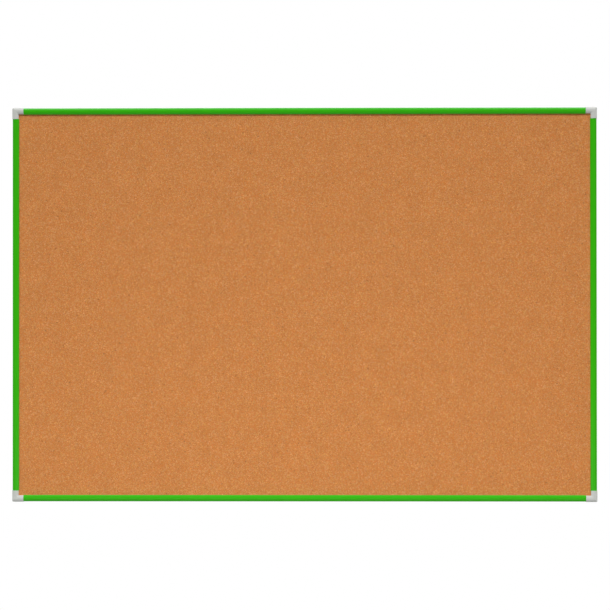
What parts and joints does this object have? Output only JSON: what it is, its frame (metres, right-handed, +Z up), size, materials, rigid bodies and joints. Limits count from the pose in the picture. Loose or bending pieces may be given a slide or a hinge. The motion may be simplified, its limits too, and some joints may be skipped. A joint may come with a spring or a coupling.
{
  "type": "cork bulletin board",
  "caption": "Wall-hung cork bulletin board: a cork-faced panel in a slim green metal frame with grey moulded corner caps, hung on keyhole brackets that slide along the top rail.",
  "frame": {"origin": "centre of the whole board's box", "axes": "+X to the viewer's right along the long side, +Y back towards the wall, +Z up; the cork faces -Y"},
  "size_m": [1.535, 0.026, 1.035],
  "materials": {
    "cork": "matte",
    "softboard": "matte",
    "hardboard": "satin",
    "green_powder_coat": "satin",
    "grey_plastic": "satin",
    "zinc_screw": "satin",
    "galvanised_steel": "satin",
    "bumper_rubber": "matte"
  },
  "bodies": {
    "board": {"cork_sheet": "cork", "softboard_core": "softboard", "hardboard_back": "hardboard", "top_rail": "green_powder_coat", "bottom_rail": "green_powder_coat", "left_rail": "green_powder_coat", "right_rail": "green_powder_coat", "corner_cap_top_left": "grey_plastic", "corner_cap_top_right": "grey_plastic", "corner_cap_bottom_right": "grey_plastic", "corner_cap_bottom_left": "grey_plastic", "top_rail_screw_left": "zinc_screw", "top_rail_screw_right": "zinc_screw", "bottom_rail_screw_left": "zinc_screw", "bottom_rail_screw_right": "zinc_screw", "left_rail_screw_top": "zinc_screw", "left_rail_screw_bottom": "zinc_screw", "right_rail_screw_top": "zinc_screw", "right_rail_screw_bottom": "zinc_screw", "wall_bumper_top_left": "bumper_rubber", "wall_bumper_top_right": "bumper_rubber", "wall_bumper_bottom_left": "bumper_rubber", "wall_bumper_bottom_right": "bumper_rubber"},
    "left_hanger": {"hanger_left": "galvanised_steel"},
    "right_hanger": {"hanger_right": "galvanised_steel"}
  },
  "joints": [
    {"name": "left_hanger_slide", "type": "slide", "parent": "board", "child": "left_hanger", "axis": [1, 0, 0], "range_m": [-0.115, 0.575]},
    {"name": "right_hanger_slide", "type": "slide", "parent": "board", "child": "right_hanger", "axis": [1, 0, 0], "range_m": [-0.575, 0.115]}
  ]
}
